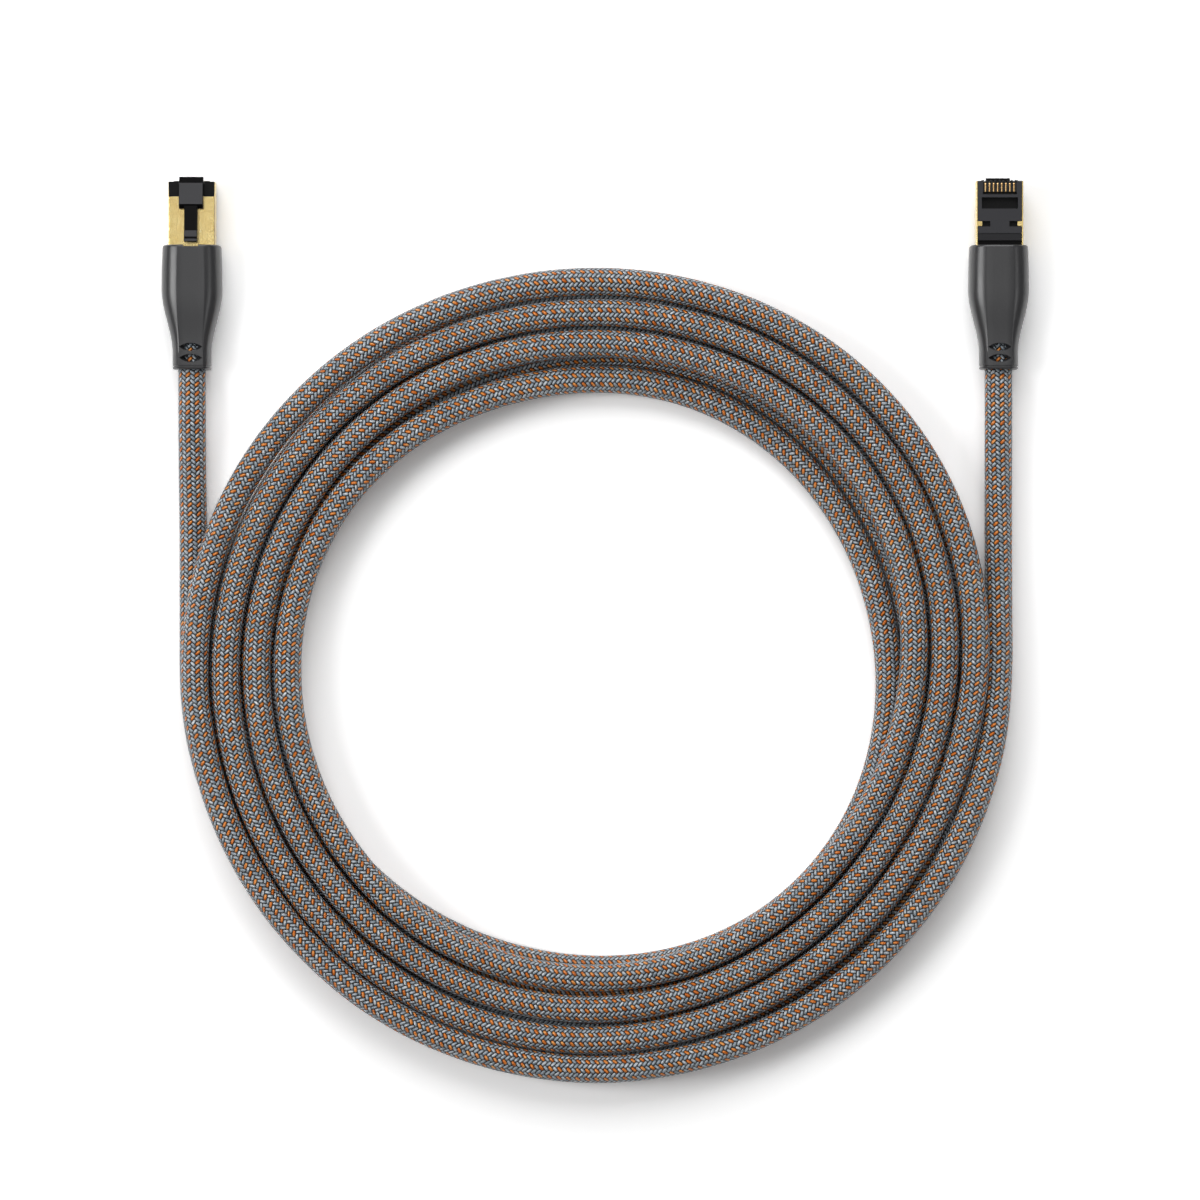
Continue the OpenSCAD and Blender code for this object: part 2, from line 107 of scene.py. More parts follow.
PLUG_H = 6.6
NOSE_Y = BOOT_L + 15.85
FACE_Z = 2.1                    # the plug's latch side, above the cable's axis
CONTACT_Z = FACE_Z - PLUG_H
LEVER_W = 3.25
LEVER_ROOM = 0.3                # notch in the boot's front: room beside the lever, and its depth
LEVER_NOTCH = 0.5
HINGE_Y = NOSE_Y + 0.45
HINGE_Z = FACE_Z + 0.2
LATCH_RISE = 8.0
PLATEAU = 1.3                   # only the latch's plateau and thumb steps are above this level
FOLD_R = 0.35                   # bend of the shell's sheet metal
FIT = 0.05

# Weave of the sleeve: 36 yarns, over two and under two, so 18 columns of floats round the cable
COLUMNS = 18
FLOAT_PITCH = 1.15

# Facets round the tubes, and the length of one facet along the free cable
CABLE_SIDES = 24
SLEEVE_SIDES = 48
FACET_L = 1.04

# Camera: straight above, with a long lens
CAMERA_HEIGHT = 1300.0          # above the plugs' middle
CAMERA_PLACE = (1.175, -81.6)
VIEW_W = 300.0
SENSOR_W = 36


# ------------------------------------------------------------------ helpers

def linear(hex_colour):
    """An sRGB hex colour as linear red, green, blue and alpha."""
    parts = [int(hex_colour[i:i + 2], 16) / 255 for i in (1, 3, 5)]
    return [c / 12.92 if c <= 0.04045 else ((c + 0.055) / 1.055) ** 2.4 for c in parts] + [1.0]


def add(tree, kind, inputs=(), **settings):
    """Adds a node. Each input is a value or another node's socket, given by place or by name."""
    node = tree.nodes.new(kind)
    for name, value in settings.items():
        setattr(node, name, value)
    for key, value in inputs.items() if isinstance(inputs, dict) else enumerate(inputs):
        if isinstance(value, bpy.types.NodeSocket):
            tree.links.new(value, node.inputs[key])
        elif value is not None:
            node.inputs[key].default_value = value
    return node.outputs[0] if len(node.outputs) == 1 else node


def new_material(name):
    """A material with an empty tree, and that tree."""
    material = bpy.data.materials.new(name)
    material.use_nodes = True
    material.node_tree.nodes.clear()
    return material, material.node_tree


def mesh_object(name, points, faces, smooth=True):
    """An object at the origin with this mesh, its points given in millimetres."""
    mesh = bpy.data.meshes.new(name)
    mesh.from_pydata([tuple(p) for p in np.asarray(points) * MM], [], faces)
    mesh.polygons.foreach_set("use_smooth", [smooth] * len(mesh.polygons))
    mesh.update()
    obj = bpy.data.objects.new(name, mesh)
    bpy.context.scene.collection.objects.link(obj)
    return obj


def turned(end):
    """Signs that turn plug a's own frame over for plug b."""
    return np.array([1, 1, 1]) if end == "a" else np.array([-1, 1, -1])


def at_end(points, end):
    """Points of a plug's own frame at their place: a on the left, b turned over on the right."""
    side = -1 if end == "a" else 1
    return np.asarray(points, float) * turned(end) + [side * PLUG_X, BOOT_TAIL_Y, BOOT_H / 2]


def baked(obj):
    """Applies an object's modifiers to its mesh."""
    depsgraph = bpy.context.evaluated_depsgraph_get()
    obj.data = bpy.data.meshes.new_from_object(obj.evaluated_get(depsgraph))
    obj.modifiers.clear()
    return obj


def cut(obj, cutters):
    """Cuts each cutter out of an object and removes the cutters."""
    for cutter in cutters:
        modifier = obj.modifiers.new("cut", "BOOLEAN")
        modifier.object = cutter
        modifier.operation = "DIFFERENCE"
        modifier.solver = "EXACT"
        baked(obj)
        bpy.data.objects.remove(cutter)


def smooth_by_angle(obj, degrees):
    """Smooth shading, apart from edges sharper than this."""
    obj.data.polygons.foreach_set("use_smooth", [True] * len(obj.data.polygons))
    obj.data.set_sharp_from_angle(angle=math.radians(degrees))


def dress(obj, material, replaced, body="root"):
    """Gives a finished piece its material and body, and hides the nodes that it stands for."""
    obj.data.materials.clear()
    obj.data.materials.append(material)
    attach(obj, body)
    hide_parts(*replaced)


# ------------------------------------------------------------------ materials

def woven_sleeve():
    """Braided polyester yarn, over two and under two. Each float is a short round cushion of shiny
    fibres. The holes between floats are painted near-black as painted shade, and each float's
    colour fades into them down its low edges, also painted shade. Every second yarn of one
    direction is orange, the rest are grey-blue and silver."""
    material, tree = new_material("woven_polyester_sleeve")
    uv = add(tree, "ShaderNodeUVMap", uv_map="braid")
    place = add(tree, "ShaderNodeSeparateXYZ", [uv])
    column = add(tree, "ShaderNodeMath", [place.outputs["X"], COLUMNS], operation="MULTIPLY")
    row = place.outputs["Y"]

    # grey yarns keep one lattice number all along, tracers the other
    grey_line = add(tree, "ShaderNodeMath", [row, column], operation="SUBTRACT")
    tracer_line = add(tree, "ShaderNodeMath", [row, column], operation="ADD")
    grey_yarn = add(tree, "ShaderNodeMath", [grey_line], operation="FLOOR")
    grey_side = add(tree, "ShaderNodeMath", [grey_line], operation="FRACT")
    tracer_yarn = add(tree, "ShaderNodeMath", [tracer_line], operation="FLOOR")
    tracer_side = add(tree, "ShaderNodeMath", [tracer_line], operation="FRACT")

    # the weave repeats after four yarns, and the tracer is on top for two of them
    apart = add(tree, "ShaderNodeMath", [tracer_yarn, grey_yarn], operation="SUBTRACT")
    step = add(tree, "ShaderNodeMath", [apart, 4.0], operation="FLOORED_MODULO")
    tracer_on_top = add(tree, "ShaderNodeMath", [step, 1.5], operation="GREATER_THAN")
    steps_left = add(tree, "ShaderNodeMath", [3.0, step], operation="SUBTRACT")
    grey_way = add(tree, "ShaderNodeMath", [step, tracer_side], operation="ADD")
    tracer_way = add(tree, "ShaderNodeMath", [steps_left, grey_side], operation="ADD")
    grey_run = add(tree, "ShaderNodeMath", [grey_way, 0.5], operation="MULTIPLY")
    tracer_run = add(tree, "ShaderNodeMath", [tracer_way, 0.5], operation="MULTIPLY")

    # the float on top here: how far along it and across it this place is, and its yarn's number
    run, side, yarn = (
        add(tree, "ShaderNodeMix",
            {"Factor": tracer_on_top, "A": grey, "B": tracer}).outputs["Result"]
        for grey, tracer in ((grey_run, tracer_run), (grey_side, tracer_side),
                             (grey_yarn, tracer_yarn)))

    # a float's outline is a fat oval: both powers above 2 make it squarer than an ellipse
    reaches = []
    for share, power in ((side, 2.6), (run, 3.0)):
        signed = add(tree, "ShaderNodeMath", [share, 2.0, -1.0], operation="MULTIPLY_ADD")
        off_middle = add(tree, "ShaderNodeMath", [signed], operation="ABSOLUTE")
        reaches.append(add(tree, "ShaderNodeMath", [off_middle, power], operation="POWER"))
    reach = add(tree, "ShaderNodeMath", reaches, operation="ADD")
    inside = add(tree, "ShaderNodeMath", [1.0, reach], operation="SUBTRACT")
    inside = add(tree, "ShaderNodeMath", [inside, 0.0], operation="MAXIMUM")
    height = add(tree, "ShaderNodeMath", [inside, 0.8], operation="POWER")

    # fibres run along each float, drawn coarse enough to show, and each float has its own tone
    across_fibres = add(tree, "ShaderNodeMath", [side, 8.0], operation="MULTIPLY")
    fibre_place = add(tree, "ShaderNodeCombineXYZ", [across_fibres, run, yarn])
    fibres = add(tree, "ShaderNodeTexNoise",
                 {"Vector": fibre_place, "Scale": 1.2, "Detail": 1.0}).outputs[0]
    float_place = add(tree, "ShaderNodeCombineXYZ", [grey_yarn, tracer_yarn, 0.0])
    chance = add(tree, "ShaderNodeTexWhiteNoise", {"Vector": float_place}).outputs["Value"]
    tone = add(tree, "ShaderNodeMath", [fibres, 0.75, 0.055], operation="MULTIPLY_ADD")
    tone = add(tree, "ShaderNodeMath", [chance, 0.15, tone], operation="MULTIPLY_ADD")

    # dark, middle and bright fibres of the grey yarns and of the orange ones
    yarn_colours = []
    for tones in (("#4E5862", "#9CA8B2", "#FCFCFC"), ("#8C3404", "#E2781A", "#FFCC80")):
        ramp = add(tree, "ShaderNodeValToRGB", [tone])
        ramp.color_ramp.elements.new(0.5)
        for stop, position, colour in zip(ramp.color_ramp.elements, (0.25, 0.5, 0.75), tones):
            stop.position, stop.color = position, linear(colour)
        yarn_colours.append(ramp.outputs[0])
    grey, orange = yarn_colours
    odd = add(tree, "ShaderNodeMath", [tracer_yarn, 2.0], operation="FLOORED_MODULO")
    even = add(tree, "ShaderNodeMath", [1.0, odd], operation="SUBTRACT")
    is_orange = add(tree, "ShaderNodeMath", [even, tracer_on_top], operation="MULTIPLY")
    yarn_colour = add(tree, "ShaderNodeMix",
                      {"Factor": is_orange, "A": grey, "B": orange},
                      data_type="RGBA").outputs["Result"]
    # painted shade: the holes between floats are near-black, and each float's colour fades to it
    # down its low edges
    clear_of_painted_shade = add(tree, "ShaderNodeMapRange",
                     {"Value": height, "From Min": 0.14, "From Max": 0.6, "To Min": 0.0,
                      "To Max": 1.0}).outputs[0]
    colour = add(tree, "ShaderNodeMix",
                 {"Factor": clear_of_painted_shade, "A": linear("#060708"), "B": yarn_colour},
                 data_type="RGBA").outputs["Result"]
    relief = add(tree, "ShaderNodeMath", [fibres, 0.15, height], operation="MULTIPLY_ADD")
    bump = add(tree, "ShaderNodeBump", {"Strength": 1.0, "Distance": 0.6 * MM, "Height": relief})
    shader = add(tree, "ShaderNodeBsdfPrincipled",
                 {"Base Color": colour, "Roughness": 0.32, "IOR": 1.5, "Specular IOR Level": 0.5,
                  "Normal": bump})
    add(tree, "ShaderNodeOutputMaterial", [shader])
    return material


def moulded(name, plain, roughness, grain, relief, gloss=0.5, textured_painted_sheen=None):
    """Moulded plastic or rubber: even colour and a satin skin from the spark-eroded mould. Faces
    marked as textured are duller, because the mould is rougher there, and their paler colour is a
    painted sheen, the grey of light scattered off that rough skin. Grain and relief are in
    millimetres."""
    material, tree = new_material(name)
    place = add(tree, "ShaderNodeTexCoord").outputs["Object"]
    rough_faces_painted_sheen = add(tree, "ShaderNodeAttribute", attribute_name="textured_painted_sheen").outputs["Fac"]
    skin_noise = add(tree, "ShaderNodeTexNoise",
                     {"Vector": place, "Scale": 1 / (grain * MM), "Detail": 3.0}).outputs[0]
    cloud = add(tree, "ShaderNodeTexNoise",
                {"Vector": place, "Scale": 1 / (5 * MM), "Detail": 2.0}).outputs[0]
    # painted sheen: textured faces get a paler grey in place of the light their rough skin scatters
    colour = add(tree, "ShaderNodeMix",
                 {"Factor": rough_faces_painted_sheen, "A": linear(plain), "B": linear(textured_painted_sheen or plain)},
                 data_type="RGBA").outputs["Result"]
    dull = add(tree, "ShaderNodeMath", [rough_faces_painted_sheen, 0.12, roughness], operation="MULTIPLY_ADD")
    dull = add(tree, "ShaderNodeMath", [cloud, 0.1, dull], operation="MULTIPLY_ADD")
    bump = add(tree, "ShaderNodeBump",
               {"Strength": 0.4, "Distance": relief * MM, "Height": skin_noise})
    shader = add(tree, "ShaderNodeBsdfPrincipled",
                 {"Base Color": colour, "Roughness": dull, "IOR": 1.5,
                  "Specular IOR Level": gloss, "Normal": bump})
    add(tree, "ShaderNodeOutputMaterial", [shader])
    return material


def gold(name, dark, light, roughness, grain, relief):
    """Gold plating over nickel on sheet brass: warm metal, satin from fine blasting, with tiny
    facets that bump the surface and whose random brighter colour is a painted glint. Grain and
    relief are in millimetres, drawn coarse enough to show."""
    material, tree = new_material(name)
    place = add(tree, "ShaderNodeTexCoord").outputs["Object"]
    facets = add(tree, "ShaderNodeTexVoronoi", {"Vector": place, "Scale": 1 / (grain * MM)})
    painted_glint = add(tree, "ShaderNodeSeparateColor", [facets.outputs["Color"]]).outputs["Red"]
    cloud = add(tree, "ShaderNodeTexNoise",
                {"Vector": place, "Scale": 1 / (3 * MM), "Detail": 3.0}).outputs[0]
    # painted glint: each facet gets a random brighter or darker gold, half of the tone
    tone = add(tree, "ShaderNodeMath", [cloud, 0.5], operation="MULTIPLY")
    tone = add(tree, "ShaderNodeMath", [painted_glint, 0.5, tone], operation="MULTIPLY_ADD")
    colour = add(tree, "ShaderNodeMix",
                 {"Factor": tone, "A": linear(dark), "B": linear(light)},
                 data_type="RGBA").outputs["Result"]
    dull = add(tree, "ShaderNodeMapRange",
               {"Value": cloud, "From Min": 0.3, "From Max": 0.7, "To Min": roughness - 0.06,
                "To Max": roughness + 0.06}).outputs[0]
    bump = add(tree, "ShaderNodeBump", {"Strength": 0.5, "Distance": relief * MM,
                                        "Height": facets.outputs["Distance"]})
    shader = add(tree, "ShaderNodeBsdfPrincipled",
                 {"Base Color": colour, "Metallic": 1.0, "Roughness": dull, "Normal": bump})
    add(tree, "ShaderNodeOutputMaterial", [shader])
    return material


def striped_wires(name, pale, full):
    """Insulation of a pair: solid colour, with pale rings where its white mate shows."""
    material, tree = new_material(name)
    place = add(tree, "ShaderNodeTexCoord").outputs["Object"]
    rings = add(tree, "ShaderNodeTexWave",
                {"Vector": place, "Scale": 1 / (20 * MM), "Distortion": 1.0},
                bands_direction="Y").outputs[0]
    colour = add(tree, "ShaderNodeMix",
                 {"Factor": rings, "A": linear(full), "B": linear(pale)},
                 data_type="RGBA").outputs["Result"]
    shader = add(tree, "ShaderNodeBsdfPrincipled", {"Base Color": colour, "Roughness": 0.35})
    add(tree, "ShaderNodeOutputMaterial", [shader])
    return material


def bright_metal(name, colour_hex, roughness):
    """Foil or tinned wire: silvery metal with fine creases."""
    material, tree = new_material(name)
    place = add(tree, "ShaderNodeTexCoord").outputs["Object"]
    creases = add(tree, "ShaderNodeTexNoise",
                  {"Vector": place, "Scale": 1 / (0.4 * MM), "Detail": 2.0}).outputs[0]
    bump = add(tree, "ShaderNodeBump",
               {"Strength": 0.5, "Distance": 0.03 * MM, "Height": creases})
    shader = add(tree, "ShaderNodeBsdfPrincipled",
                 {"Base Color": linear(colour_hex), "Metallic": 1.0, "Roughness": roughness,
                  "Normal": bump})
    add(tree, "ShaderNodeOutputMaterial", [shader])
    return material


# ------------------------------------------------------------------ cable

def ease(u):
    """A smooth step from 0 to 1."""
    c = min(max(u, 0.0), 1.0)
    return c * c * (3 - 2 * c)


def wave(parts, a):
    """A layer's oval and three-cornered forms at an angle."""
    return (parts[0] * math.cos(2 * a) + parts[1] * math.sin(2 * a)
            + parts[2] * math.cos(3 * a) + parts[3] * math.sin(3 * a))


def spiral(turn):
    """Centre line of the pile: inwards on the floor, then outwards in the upper layer."""
    a = math.radians(180 + 360 * turn)
    inward = COIL_R - FLOOR_PITCH * turn + wave(FLOOR_WAVE, a)
    outward = EYE_R + UPPER_PITCH * (turn - TURNS_TO_EYE) + wave(UPPER_WAVE, a)
    back = ease((turn - REVERSE_TURN) / REVERSE_TURNS)
    climbed = ease((turn - CLIMB_TURN) / CLIMB_TURNS)
    r = inward * (1 - back) + outward * back
    shift = FLOOR_SHIFT * (1 - back) + UPPER_SHIFT * back
    z = FLOOR_Z + (UPPER_Z - FLOOR_Z) * climbed
    return COIL_CENTRE + shift + np.array([r * math.cos(a), r * math.sin(a), z])


def spiral_heading(turn):
    """The direction in which the cable runs at a turn."""
    step = spiral(turn + 0.001) - spiral(turn - 0.001)
    return step / np.linalg.norm(step)


def around(*places):
    """Points given as radius, angle and height about the coil's centre."""
    return [COIL_CENTRE + [r * math.cos(math.radians(a)), r * math.sin(math.radians(a)), z]
            for r, a, z in places]


def lead_routes():
    """The two leads' points: boot a to the coil, and the coil to boot b. Most of them were worked
    out beforehand on an even curve, and rounded to 0.1."""
    coil_in, coil_out = spiral(0), spiral(COIL_TURNS)
    into, out_of = spiral_heading(0), spiral_heading(COIL_TURNS)
    lead_a = [[-PLUG_X, BOOT_TAIL_Y, 6], [-PLUG_X, BOOT_TAIL_Y - CABLE_D, 6],
              [-100.8, -40, 5.6], [-100.8, -52, 4.4], [-100.7, -64, 3.5], [-100.7, -76, 3.3],
              [-100.7, -88, 3.3], coil_in - CABLE_D * into]
    lead_b = [coil_out + CABLE_D * out_of]
    lead_b += around((99.6, 187.5, 10.3), (99.4, 195, 10.3), (99.2, 202.5, 10.3),
                     (99.0, 210, 10.3), (98.9, 217.5, 10.3), (98.7, 225, 10.3),
                     (98.7, 232.5, 10.3), (98.6, 240, 10.3), (98.5, 247.5, 10.3),
                     (98.5, 255, 10.3), (98.5, 262.5, 10.3), (98.6, 270, 10.3),
                     (98.6, 277.5, 10.3), (98.7, 285, 10.3), (98.8, 292.5, 10.3),
                     (98.9, 300, 10.3), (99.1, 307.5, 10.3), (99.2, 315, 10.3),
                     (99.4, 322.5, 10.3), (99.7, 330, 10.3), (99.9, 337.5, 10.0),
                     (100.2, 345, 9.2), (100.5, 352.5, 7.9))
    lead_b += [[100.8, -98, 6.6], [100.8, -86, 6.2], [100.8, -74, 5.6], [100.8, -62, 5.3],
               [100.8, -50, 5.4], [100.8, -40, 5.8],
               [PLUG_X, BOOT_TAIL_Y - CABLE_D, 6], [PLUG_X, BOOT_TAIL_Y, 6]]
    return lead_a, lead_b


def through(points, step):
    """A smooth line through points, cut into pieces about this long."""
    points = [np.asarray(p, float) for p in points]
    ends = [2 * points[0] - points[1]] + points + [2 * points[-1] - points[-2]]
    line = []
    for p0, p1, p2, p3 in zip(ends, ends[1:], ends[2:], ends[3:]):
        pieces = max(2, round(np.linalg.norm(p2 - p1) / step))
        for u in np.arange(pieces) / pieces:
            line.append(0.5 * (2 * p1 + (p2 - p0) * u + (2 * p0 - 5 * p1 + 4 * p2 - p3) * u ** 2
                               + (3 * p1 - p0 - 3 * p2 + p3) * u ** 3))
    return line + [points[-1]]


def evenly(line, step):
    """The same line with its points this far apart, and their distances along it."""
    line = np.asarray(line)
    run = np.concatenate([[0], np.cumsum(np.linalg.norm(np.diff(line, axis=0), axis=1))])
    places = np.linspace(0, run[-1], int(run[-1] / step) + 1)
    return np.stack([np.interp(places, run, line[:, i]) for i in range(3)], axis=1), places


def cable_line(step):
    """The whole free cable's centre line from boot a to boot b, and its points' distances."""
    lead_a, lead_b = lead_routes()
    fine_steps, averagings = 6000, 12
    turns = [spiral(turn) for turn in np.linspace(0, COIL_TURNS, fine_steps + 1)]
    line, _ = evenly(through(lead_a, 1.0) + turns + through(lead_b, 1.0), step)
    # a little averaging takes out the last unevenness of the rounded points
    for _ in range(averagings):
        line[3:-3] = (line[2:-4] + 2 * line[3:-3] + line[4:-2]) / 4
    return evenly(line, step)


def rings_along(line, diameter, sides):
    """Rings of points round a line, the first point of each at the bottom."""
    ahead = np.gradient(line, axis=0)
    ahead /= np.linalg.norm(ahead, axis=1, keepdims=True)
    side = np.cross(ahead, [0, 0, 1.0])
    side /= np.linalg.norm(side, axis=1, keepdims=True)
    rise = np.cross(side, ahead)
    angles = 2 * math.pi * np.arange(sides) / sides - math.pi / 2
    return (line[:, None, :] + diameter / 2 * (np.cos(angles)[None, :, None] * side[:, None, :]
                                               + np.sin(angles)[None, :, None] * rise[:, None, :]))


def skin(rows, sides):
    """Faces that join rows of points, each row a closed ring."""
    return [(i * sides + k, i * sides + (k + 1) % sides,
             (i + 1) * sides + (k + 1) % sides, (i + 1) * sides + k)
            for i in range(rows - 1) for k in range(sides)]


def weave_map(obj, run, sides, rolled):
    """A UV map for the weave: turns round the cable, and floats along it. Each ring of this many
    points is at its run along the cable, and is rolled round it by some turns."""
    layer = obj.data.uv_layers.new(name="braid")
    corners = np.empty(len(obj.data.loops), int)
    obj.data.loops.foreach_get("vertex_index", corners)
    rows = len(run)
    turns_and_floats = np.stack([np.tile(np.arange(sides) / sides, rows),
                                 np.repeat(run / FLOAT_PITCH, sides)], axis=1)
    uv = turns_and_floats[corners]
    starts = np.empty(len(obj.data.polygons), int)
    obj.data.polygons.foreach_get("loop_start", starts)
    for start in starts:                     # a face over the seam runs on past one turn
        turns = uv[start:start + 4, 0]
        if turns.max() - turns.min() > 0.5:
            turns[turns < turns.max() - 0.5] += 1
    uv[:, 0] += np.repeat(rolled, sides)[corners]
    layer.data.foreach_set("uv", uv.ravel())


def roll(run):
    """How far the sleeve has turned round the cable at a place along it, in turns: three waves."""
    return 0.055 * np.sin(run / 139) + 0.04 * np.sin(run / 47 + 1) + 0.02 * np.sin(run / 18 + 2)


def braided_cable(material):
    """The free cable as one woven tube from boot to boot."""
    sides = CABLE_SIDES
    line, run = cable_line(FACET_L)
    points = rings_along(line, CABLE_D + 2 * FLOAT_RISE, sides)
    points[..., 2] = np.maximum(points[..., 2], 0)      # it rests flat on the floor
    last = (len(line) - 1) * sides
    faces = [f[::-1] for f in skin(len(line), sides)]
    faces += [tuple(range(sides)), tuple(range(last + sides - 1, last - 1, -1))]
    cable = mesh_object("braided_cable", points.reshape(-1, 3), faces)
    weave_map(cable, run, sides, roll(run))
    dress(cable, material, replaced=("lead_a", "cable_coil", "lead_b"))


def sleeve_end(end, material):
    """The woven sleeve inside a boot, which shows through the windows."""
    low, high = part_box("sleeve_end_" + end)
    sides, rings = SLEEVE_SIDES, 16
    y = np.linspace(low.y, high.y, rings) / MM
    centre = np.stack([np.full_like(y, (low.x + high.x) / 2 / MM), y,
                       np.full_like(y, (low.z + high.z) / 2 / MM)], axis=1)
    outside = rings_along(centre, CABLE_D, sides)
    inside = rings_along(centre, CABLE_D - 2 * SLEEVE_WALL, sides)
    points = np.concatenate([outside, inside[::-1]]).reshape(-1, 3)
    last = (2 * rings - 1) * sides
    faces = [f[::-1] for f in skin(2 * rings, sides)]
    faces += [(last + k, k, (k + 1) % sides, last + (k + 1) % sides) for k in range(sides)]
    piece = mesh_object("woven_sleeve_end_" + end, points, faces)
    weave_map(piece, np.concatenate([y, y[::-1]]), sides, np.zeros(2 * rings))
    dress(piece, material, replaced=("sleeve_end_" + end,))


# ------------------------------------------------------------------ boots

def boot_half(y, tail, grip, draw):
    """Half the boot's width or height: straight tail, ogee shoulder, grip with a round front."""
    front = max(0.0, min(1.0, (y - BOOT_L + FRONT_ROUND) / FRONT_ROUND))
    return (tail + (grip - tail) * ease((y - TAIL_L) / (GRIP_Y - TAIL_L))
            - draw * (max(0.0, y - GRIP_Y) / (BOOT_L - GRIP_Y)) ** 2
            - FRONT_ROUND * (1 - math.sqrt(1 - front * front)))


def boot_top(y):
    """Height of the boot's flat panel above the cable's axis."""
    return boot_half(y, TAIL_W / 2, BOOT_H / 2, 0.0)


def boot_ring(y, out):
    """A section of the boot: flat panels above and below, and rounded shoulders that start at a
    softly broken crease."""
    w = boot_half(y, TAIL_W / 2, BOOT_W / 2, DRAW_IN) + out
    h = boot_top(y) + out
    panel = boot_half(y, TAIL_PANEL / 2, GRIP_PANEL / 2, DRAW_IN)
    crease = math.acos((panel / w) ** (BOOT_POWER / 2))
    full_h = h / (1 - (panel / w) ** BOOT_POWER) ** (1 / BOOT_POWER)
    turn = crease * np.concatenate([np.linspace(0, 0.93, 22), [0.975]])
    shoulder = np.stack([w * np.cos(turn) ** (2 / BOOT_POWER),
                         full_h * np.sin(turn) ** (2 / BOOT_POWER)], axis=1)
    break_w = 0.1                       # the crease is broken this far to each side
    shoulder[-1] = (panel + break_w, h - 0.4 * (h - shoulder[-1][1]) - 0.01)
    flat = np.array([[panel - break_w, h], [panel / 2, h], [0.0, h]])
    quarter = np.concatenate([shoulder, flat])
    half = np.concatenate([quarter, (quarter * [-1, 1])[-2:0:-1]])
    section = np.concatenate([half, -half])
    return np.stack([section[:, 0], np.full(len(section), y), section[:, 1]], axis=1)


def face_outwards(obj):
    """Turns the normals of a closed mesh to its outside."""
    shape = bmesh.new()
    shape.from_mesh(obj.data)
    bmesh.ops.recalc_face_normals(shape, faces=shape.faces)
    shape.to_mesh(obj.data)
    shape.free()


def loft(name, lower, upper, end):
    """A cutter between two outlines with as many points, given in the plug's frame."""
    count = len(lower)
    faces = [(k, (k + 1) % count, count + (k + 1) % count, count + k) for k in range(count)]
    faces += [tuple(range(count - 1, -1, -1)), tuple(range(count, 2 * count))]
    obj = mesh_object(name, at_end(lower + upper, end), faces, smooth=False)
    face_outwards(obj)
    return obj


def lengthwise(name, outline, y_low, y_high, end):
    """A cutter that runs along the plug, its outline drawn across it."""
    lower, upper = ([(x, y, z) for x, z in outline] for y in (y_low, y_high))
    return loft(name, lower, upper, end)


def upright(name, lower, upper, z_low, z_high, end):
    """A cutter that runs up or down, from its first outline to its second."""
    return loft(name, [(x, y, z_low) for x, y in lower], [(x, y, z_high) for x, y in upper], end)


def lens(width, length, count=20):
    """Outline of two arcs that meet in points, centred on the origin."""
    bow = (width ** 2 / 4 + length ** 2 / 4) / length
    reach = math.asin(width / 2 / bow)
    upper = [(bow * math.sin(a), bow * math.cos(a) - bow + length / 2)
             for a in np.linspace(-reach, reach, count)]
    return upper + [(-x, -y) for x, y in upper[1:-1]]


def rectangle(x, z_low, z_high):
    """Outline of a rectangle from -x to x."""
    return [(-x, z_low), (x, z_low), (x, z_high), (-x, z_high)]


def circle(r, count=64):
    """Outline of a circle round the cable's axis."""
    return [(r * math.cos(a), r * math.sin(a)) for a in 2 * math.pi * np.arange(count) / count]


def boot_stations():
    """Places along the boot, and how far its skin lies out from the plain form there."""
    tail_edge = [(0, -0.3), (0.05, -0.17), (0.13, -0.08), (0.25, -0.02), (0.4, 0), (0.55, 0)]
    groove = [(0.6, -0.05), (0.63, -GROOVE), (0.87, -GROOVE), (0.9, -0.05), (0.96, 0)]
    plain = [1.4, 2, 3, 4]
    plain += list(np.linspace(TAIL_L + 0.5, GRIP_Y, 32))
    plain += list(np.linspace(GRIP_Y + 1, BOOT_L - 0.6, 10))
    plain += [BOOT_L - FRONT_ROUND * (1 - math.sin(t)) for t in np.linspace(0.1, math.pi / 2, 8)]
    return tail_edge + groove + [(y, 0) for y in plain]


def boot(end, material):
    """The moulded boot: a smooth skin, two windows through the tail, and its inside."""
    rings = [boot_ring(y, out) for y, out in boot_stations()]
    rows, count = len(rings), len(rings[0])
    faces = skin(rows, count)
    faces += [tuple(range(count - 1, -1, -1)), tuple(range((rows - 1) * count, rows * count))]
    obj = mesh_object("moulded_boot_" + end, at_end(np.concatenate(rings), end), faces)
    face_outwards(obj)
    over, rim = 1.0, 0.1                # how far a cutter runs past a face or a window's rim
    cutters = [lengthwise("bore", circle(CABLE_D / 2 + FIT), -over, POCKET_Y + 0.2, end),
               lengthwise("pocket", rectangle(POCKET_W / 2 + FIT, -POCKET_H / 2, POCKET_H / 2),
                          POCKET_Y, FLANGE_Y, end),
               lengthwise("plug_seat", rectangle(PLUG_W / 2 + FIT, CONTACT_Z - FIT, FACE_Z + FIT),
                          FLANGE_Y - FIT, BOOT_L + over, end),
               lengthwise("lever_room", rectangle(LEVER_W / 2 + LEVER_ROOM, FACE_Z, BOOT_H),
                          BOOT_L - LEVER_NOTCH, BOOT_L + over, end)]
    for place in WINDOW_PLACES:
        # the windows go right through, and widen from the sleeve up to each panel
        hole = [(x, y + place) for x, y in lens(WINDOW_W - 2 * WINDOW_SLOPE, WINDOW_L - rim)]
        flare = [(x, y + place) for x, y in lens(WINDOW_W + rim, WINDOW_L + rim)]
        level = boot_top(place)
        cutters.append(upright("window", hole, hole, -BOOT_H, BOOT_H, end))
        cutters += [upright("flare", hole, flare, side * (level - WINDOW_SLOPE),
                            side * (level + rim), end) for side in (-1, 1)]
    cut(obj, cutters)
    smooth_by_angle(obj, 32)
    dress(obj, material, replaced=("boot_" + end,))


# ------------------------------------------------------------------ plugs

